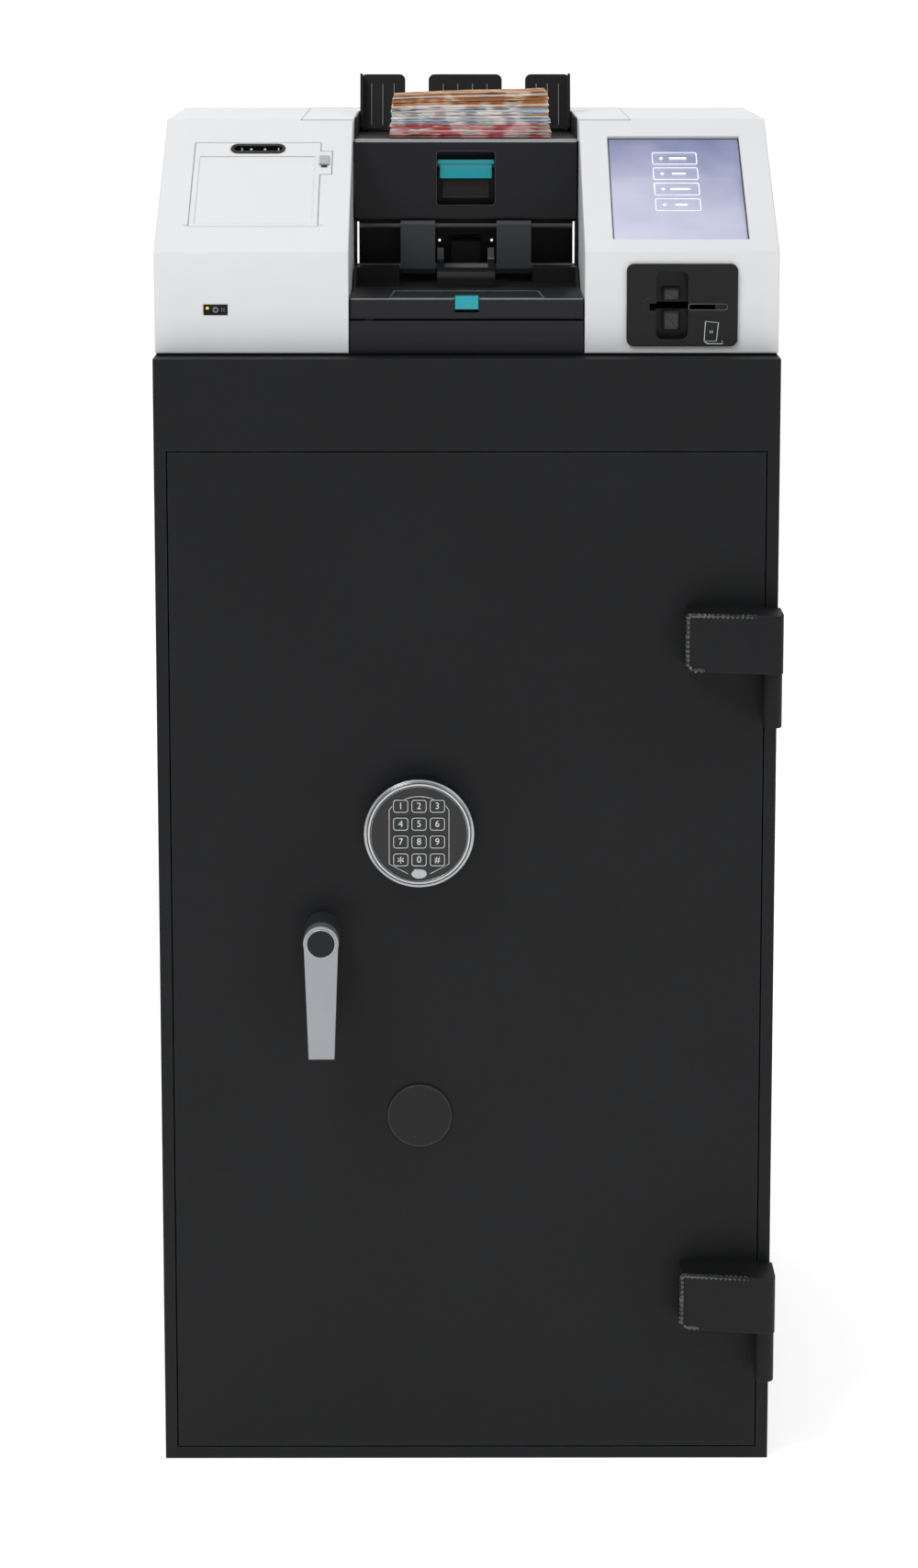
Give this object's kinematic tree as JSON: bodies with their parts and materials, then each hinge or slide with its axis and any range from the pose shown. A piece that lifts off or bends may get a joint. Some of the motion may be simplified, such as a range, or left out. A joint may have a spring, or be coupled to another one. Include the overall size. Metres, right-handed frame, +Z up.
{
  "type": "teller cash recycler",
  "caption": "Free-standing cash machine: a steel safe with keypad lock and turn handle, and a head with note hopper, touch screen, card slot and receipt printer.",
  "frame": {"origin": "on the floor, in the middle of the safe's four anchor holes", "axes": "+Z up, the front faces -Y, +X to the right seen from the front"},
  "size_m": [0.5647, 0.672, 1.2759],
  "materials": {
    "safe_paint": "matt textured charcoal paint",
    "bright_steel": "bright",
    "zinc_steel": "zinc plated sheet",
    "white_cover": "fine texture, off-white",
    "black_plastic": "fine texture, black",
    "gloss_black": "gloss black",
    "dark_steel": "dark brushed",
    "chrome_ring": "satin chrome",
    "board": "green circuit board",
    "screen": "lit touch screen",
    "teal": "teal",
    "paper": "paper",
    "notes": "printed paper"
  },
  "bodies": {
    "frame": {"safe_body": "safe_paint", "hinge_barrels": "safe_paint", "hinge_pins": "bright_steel", "cassette_rack": "zinc_steel", "note_cassettes": "black_plastic", "note_transport": "zinc_steel", "head_deck": "zinc_steel", "left_housing": "white_cover", "right_housing": "white_cover", "rear_cover": "white_cover", "power_inlet": "black_plastic", "printer_frame": "black_plastic", "sensor_window": "gloss_black", "screen_glass": "screen", "display_module": "zinc_steel", "card_bezel": "black_plastic", "card_reader": "zinc_steel", "pocket_shell": "black_plastic", "lower_panel": "black_plastic"},
    "door": {"door_plate": "safe_paint", "door_pan": "zinc_steel", "hinge_arms": "safe_paint", "cover_disc": "gloss_black", "keypad_bezel": "chrome_ring", "keypad_face": "gloss_black", "keypad_board": "board", "lock_case": "zinc_steel"},
    "handle": {"handle_lever": "bright_steel", "handle_cap": "gloss_black", "handle_spindle": "dark_steel"},
    "bolts": {"bolt_bar": "zinc_steel"},
    "upper_unit": {"upper_panel": "black_plastic", "hopper_tray": "black_plastic", "upper_hood": "white_cover", "back_guide": "black_plastic"},
    "release_paddle": {"unit_latch": "teal"},
    "left_guide": {"guide_left": "black_plastic"},
    "right_guide": {"guide_right": "black_plastic"},
    "notes": {"banknote_stack": "notes"},
    "pick_shaft": {"pick_rollers": "zinc_steel"},
    "stacker_shaft": {"stacker_wheels": "zinc_steel"},
    "paddles": {"pocket_paddles": "black_plastic"},
    "front_tray": {"tray_flap": "black_plastic"},
    "front_tab": {"tray_tab": "teal"},
    "printer_lid": {"printer_door": "white_cover", "receipt_mouth": "gloss_black"},
    "lid_latch": {"printer_latch": "white_cover"},
    "roll": {"paper_roll": "paper"},
    "key_1": {"key_1": "gloss_black"},
    "key_2": {"key_2": "gloss_black"},
    "key_3": {"key_3": "gloss_black"},
    "key_4": {"key_4": "gloss_black"},
    "key_5": {"key_5": "gloss_black"},
    "key_6": {"key_6": "gloss_black"},
    "key_7": {"key_7": "gloss_black"},
    "key_8": {"key_8": "gloss_black"},
    "key_9": {"key_9": "gloss_black"},
    "key_star": {"key_star": "gloss_black"},
    "key_0": {"key_0": "gloss_black"},
    "key_hash": {"key_hash": "gloss_black"}
  },
  "joints": [
    {"name": "door_swing", "type": "hinge", "parent": "frame", "child": "door", "pos_m": [0.275, -0.3293, 0.5], "axis": [0, 0, 1], "range_deg": [0, 110]},
    {"name": "handle_turn", "type": "hinge", "parent": "door", "child": "handle", "pos_m": [-0.1315, -0.31, 0.5103], "axis": [0, 1, 0], "range_deg": [0, 90]},
    {"name": "bolt_throw", "type": "slide", "parent": "door", "child": "bolts", "axis": [-1, 0, 0], "range_m": [0, 0.0181]},
    {"name": "unit_lift", "type": "hinge", "parent": "frame", "child": "upper_unit", "pos_m": [0, 0.12, 1.23], "axis": [-1, 0, 0], "range_deg": [0, 40]},
    {"name": "paddle_pull", "type": "hinge", "parent": "upper_unit", "child": "release_paddle", "pos_m": [0, -0.0946, 1.194], "axis": [-1, 0, 0], "range_deg": [0, 25], "stiffness_Nm_per_rad": 0.08, "springref_deg": -11.46},
    {"name": "right_guide_slide", "type": "slide", "parent": "upper_unit", "child": "right_guide", "axis": [-1, 0, 0], "range_m": [0, 0.016]},
    {"name": "left_guide_slide", "type": "slide", "parent": "upper_unit", "child": "left_guide", "axis": [1, 0, 0], "range_m": [0, 0.0161]},
    {"name": "notes_lift", "type": "slide", "parent": "upper_unit", "child": "notes", "axis": [0, 0, 1], "range_m": [0, 0.05]},
    {"name": "pick_spin", "type": "hinge", "parent": "upper_unit", "child": "pick_shaft", "pos_m": [0, -0.066, 1.2067], "axis": [1, 0, 0], "continuous": true},
    {"name": "stacker_spin", "type": "hinge", "parent": "frame", "child": "stacker_shaft", "pos_m": [0, -0.086, 1.096], "axis": [1, 0, 0], "continuous": true},
    {"name": "paddle_swing", "type": "hinge", "parent": "frame", "child": "paddles", "pos_m": [0, -0.118, 1.138], "axis": [-1, 0, 0], "range_deg": [0, 40]},
    {"name": "tray_lift", "type": "hinge", "parent": "frame", "child": "front_tray", "pos_m": [0, -0.273, 1.07], "axis": [1, 0, 0], "range_deg": [0, 45]},
    {"name": "tab_press", "type": "slide", "parent": "front_tray", "child": "front_tab", "axis": [0, 0, -1], "range_m": [0, 0.0025], "stiffness_N_per_m": 400, "springref_m": -0.0005},
    {"name": "lid_swing", "type": "hinge", "parent": "frame", "child": "printer_lid", "pos_m": [-0.19365, -0.24862, 1.14776], "axis": [1, 0, 0], "range_deg": [0, 95]},
    {"name": "latch_slide", "type": "slide", "parent": "printer_lid", "child": "lid_latch", "axis": [0, -0.8434, -0.5373], "range_m": [0, 0.005], "stiffness_N_per_m": 150, "springref_m": -0.0005},
    {"name": "roll_spin", "type": "hinge", "parent": "frame", "child": "roll", "pos_m": [-0.19365, -0.18228, 1.15623], "axis": [1, 0, 0], "continuous": true},
    {"name": "key_1_press", "type": "slide", "parent": "door", "child": "key_1", "axis": [0, 1, 0], "range_m": [0, 0.0008], "stiffness_N_per_m": 800},
    {"name": "key_2_press", "type": "slide", "parent": "door", "child": "key_2", "axis": [0, 1, 0], "range_m": [0, 0.0008], "stiffness_N_per_m": 800},
    {"name": "key_3_press", "type": "slide", "parent": "door", "child": "key_3", "axis": [0, 1, 0], "range_m": [0, 0.0008], "stiffness_N_per_m": 800},
    {"name": "key_4_press", "type": "slide", "parent": "door", "child": "key_4", "axis": [0, 1, 0], "range_m": [0, 0.0008], "stiffness_N_per_m": 800},
    {"name": "key_5_press", "type": "slide", "parent": "door", "child": "key_5", "axis": [0, 1, 0], "range_m": [0, 0.0008], "stiffness_N_per_m": 800},
    {"name": "key_6_press", "type": "slide", "parent": "door", "child": "key_6", "axis": [0, 1, 0], "range_m": [0, 0.0008], "stiffness_N_per_m": 800},
    {"name": "key_7_press", "type": "slide", "parent": "door", "child": "key_7", "axis": [0, 1, 0], "range_m": [0, 0.0008], "stiffness_N_per_m": 800},
    {"name": "key_8_press", "type": "slide", "parent": "door", "child": "key_8", "axis": [0, 1, 0], "range_m": [0, 0.0008], "stiffness_N_per_m": 800},
    {"name": "key_9_press", "type": "slide", "parent": "door", "child": "key_9", "axis": [0, 1, 0], "range_m": [0, 0.0008], "stiffness_N_per_m": 800},
    {"name": "key_star_press", "type": "slide", "parent": "door", "child": "key_star", "axis": [0, 1, 0], "range_m": [0, 0.0008], "stiffness_N_per_m": 800},
    {"name": "key_0_press", "type": "slide", "parent": "door", "child": "key_0", "axis": [0, 1, 0], "range_m": [0, 0.0008], "stiffness_N_per_m": 800},
    {"name": "key_hash_press", "type": "slide", "parent": "door", "child": "key_hash", "axis": [0, 1, 0], "range_m": [0, 0.0008], "stiffness_N_per_m": 800}
  ],
  "couplings": [
    {"joint": "bolt_throw", "follows": "handle_turn", "m_per_rad": 0.011459},
    {"joint": "left_guide_slide", "follows": "right_guide_slide", "ratio": 1}
  ]
}
